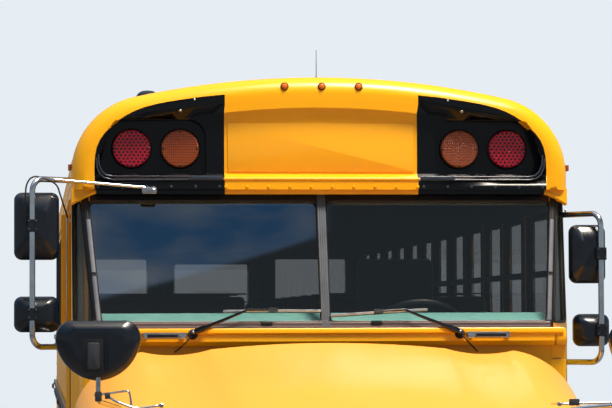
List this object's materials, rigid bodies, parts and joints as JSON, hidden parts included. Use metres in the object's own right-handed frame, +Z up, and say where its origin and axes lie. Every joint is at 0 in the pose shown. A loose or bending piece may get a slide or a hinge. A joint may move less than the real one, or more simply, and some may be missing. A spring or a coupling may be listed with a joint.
{
  "type": "school bus",
  "caption": "Yellow conventional school bus: tilting bonnet, cab-height steel body with side windows, entrance door, emergency exit, benches, mirrors, stop arm and twin rear wheels.",
  "frame": {"origin": "on the ground, below the middle of the bus's bounding box", "axes": "+X to the bus's left, +Y to its back, +Z up; the bonnet is at -Y"},
  "size_m": [3.0331, 10.7, 3.308],
  "materials": {
    "body_yellow": "gloss",
    "trim_black": "satin",
    "chassis_black": "satin",
    "engine_grey": "matt",
    "floor_rubber": "matt",
    "tyre": "matt",
    "rim_grey": "satin",
    "glass": "clear",
    "sash_black": "satin",
    "seat_vinyl": "satin",
    "seat_steel": "satin",
    "driver_cloth": "matt",
    "dash_plastic": "matt",
    "wheel_plastic": "matt",
    "mirror_chrome": "polished",
    "mirror_black": "satin",
    "red_lens": "gloss",
    "amber_lens": "gloss",
    "headlamp_clear": "gloss",
    "grille_black": "satin",
    "wiper_black": "matt",
    "sign_red": "satin",
    "exhaust_steel": "satin",
    "lining": "satin",
    "tread_rubber": "matt"
  },
  "bodies": {
    "bus": {"bumpers": "chassis_black", "frame_rails": "chassis_black", "engine": "engine_grey", "front_axle": "chassis_black", "leaf_springs": "chassis_black", "rear_axle": "chassis_black", "drive_shaft": "chassis_black", "fuel_tank": "chassis_black", "exhaust": "exhaust_steel", "floor": "floor_rubber", "left_wall": "body_yellow", "right_wall": "body_yellow", "roof": "body_yellow", "front_cap": "body_yellow", "windscreen_frame": "body_yellow", "cowl": "body_yellow", "rear_wall": "body_yellow", "body_glass": "glass", "window_sashes": "sash_black", "wheel_housings": "lining", "step_well": "tread_rubber", "seat_pads": "seat_vinyl", "seat_frames": "seat_steel", "driver_seat": "driver_cloth", "dashboard": "dash_plastic", "mirror_tubes": "mirror_chrome", "mirror_heads": "mirror_black", "red_lamps": "red_lens", "amber_lamps": "amber_lens", "rub_rails": "trim_black", "roof_fittings": "mirror_black", "grab_handles": "mirror_chrome"},
    "steering_wheel": {"steering_wheel": "wheel_plastic"},
    "bonnet": {"bonnet": "body_yellow", "grille": "grille_black", "headlamps": "headlamp_clear", "crossover_tubes": "trim_black", "crossover_heads": "mirror_black"},
    "knuckle_left": {"knuckle_left": "chassis_black"},
    "knuckle_right": {"knuckle_right": "chassis_black"},
    "wheel_front_left": {"tyre_front_left": "tyre", "rim_front_left": "rim_grey"},
    "wheel_front_right": {"tyre_front_right": "tyre", "rim_front_right": "rim_grey"},
    "wheels_rear_left": {"tyres_rear_left": "tyre", "rims_rear_left": "rim_grey"},
    "wheels_rear_right": {"tyres_rear_right": "tyre", "rims_rear_right": "rim_grey"},
    "wiper_left": {"wiper_left": "wiper_black"},
    "wiper_right": {"wiper_right": "wiper_black"},
    "stop_arm": {"stop_arm": "sign_red"},
    "roof_hatch_front": {"roof_hatch_front": "body_yellow"},
    "roof_hatch_rear": {"roof_hatch_rear": "body_yellow"},
    "entry_door_front": {"door_leaf_front": "body_yellow", "door_glass_front": "glass"},
    "entry_door_rear": {"door_leaf_rear": "body_yellow", "door_glass_rear": "glass"},
    "emergency_door": {"emergency_door": "body_yellow", "emergency_glass": "glass"}
  },
  "joints": [
    {"name": "bonnet_tilt", "type": "hinge", "parent": "bus", "child": "bonnet", "pos_m": [0, -5.18, 0.83], "axis": [1, 0, 0], "range_deg": [0, 55]},
    {"name": "steer_left", "type": "hinge", "parent": "bus", "child": "knuckle_left", "pos_m": [0.92, -4.37, 0.51], "axis": [0, 0, 1], "range_deg": [-38, 38]},
    {"name": "steer_right", "type": "hinge", "parent": "bus", "child": "knuckle_right", "pos_m": [-0.92, -4.37, 0.51], "axis": [0, 0, 1], "range_deg": [-38, 38]},
    {"name": "steering_wheel_turn", "type": "hinge", "parent": "bus", "child": "steering_wheel", "pos_m": [0.5, -3.365, 1.89], "axis": [0, 0.6428, 0.766], "range_deg": [-690, 690]},
    {"name": "wheel_front_left_spin", "type": "hinge", "parent": "knuckle_left", "child": "wheel_front_left", "pos_m": [1.03, -4.37, 0.51], "axis": [1, 0, 0], "continuous": true},
    {"name": "wheel_front_right_spin", "type": "hinge", "parent": "knuckle_right", "child": "wheel_front_right", "pos_m": [-1.03, -4.37, 0.51], "axis": [1, 0, 0], "continuous": true},
    {"name": "wheels_rear_left_spin", "type": "hinge", "parent": "bus", "child": "wheels_rear_left", "pos_m": [0.915, 2.08, 0.51], "axis": [1, 0, 0], "continuous": true},
    {"name": "wheels_rear_right_spin", "type": "hinge", "parent": "bus", "child": "wheels_rear_right", "pos_m": [-0.915, 2.08, 0.51], "axis": [1, 0, 0], "continuous": true},
    {"name": "entry_door_front_swing", "type": "hinge", "parent": "bus", "child": "entry_door_front", "pos_m": [-1.223, -3.387, 1.45], "axis": [0, 0, 1], "range_deg": [0, 85]},
    {"name": "entry_door_rear_swing", "type": "hinge", "parent": "bus", "child": "entry_door_rear", "pos_m": [-1.223, -2.663, 1.45], "axis": [0, 0, 1], "range_deg": [-85, 0]},
    {"name": "emergency_door_swing", "type": "hinge", "parent": "bus", "child": "emergency_door", "pos_m": [-0.396, 5.262, 1.77], "axis": [0, 0, 1], "range_deg": [0, 110]},
    {"name": "stop_arm_swing", "type": "hinge", "parent": "bus", "child": "stop_arm", "pos_m": [1.262, -2.49, 1.61], "axis": [0, 0, -1], "range_deg": [0, 90]},
    {"name": "roof_hatch_front_tilt", "type": "hinge", "parent": "bus", "child": "roof_hatch_front", "pos_m": [0, -0.662, 3.164], "axis": [-1, 0, 0], "range_deg": [0, 70]},
    {"name": "roof_hatch_rear_tilt", "type": "hinge", "parent": "bus", "child": "roof_hatch_rear", "pos_m": [0, 3.288, 3.164], "axis": [-1, 0, 0], "range_deg": [0, 70]},
    {"name": "wiper_left_sweep", "type": "hinge", "parent": "bus", "child": "wiper_left", "pos_m": [0.643, -3.8034, 1.86231], "axis": [0, 0.9422, -0.335], "range_deg": [0, 85]},
    {"name": "wiper_right_sweep", "type": "hinge", "parent": "bus", "child": "wiper_right", "pos_m": [-0.643, -3.8034, 1.86231], "axis": [0, -0.9422, 0.335], "range_deg": [0, 85]}
  ],
  "couplings": [
    {"joint": "steer_right", "follows": "steer_left", "ratio": 1},
    {"joint": "steering_wheel_turn", "follows": "steer_left", "ratio": 18},
    {"joint": "entry_door_rear_swing", "follows": "entry_door_front_swing", "ratio": -1},
    {"joint": "wiper_right_sweep", "follows": "wiper_left_sweep", "ratio": 1}
  ]
}
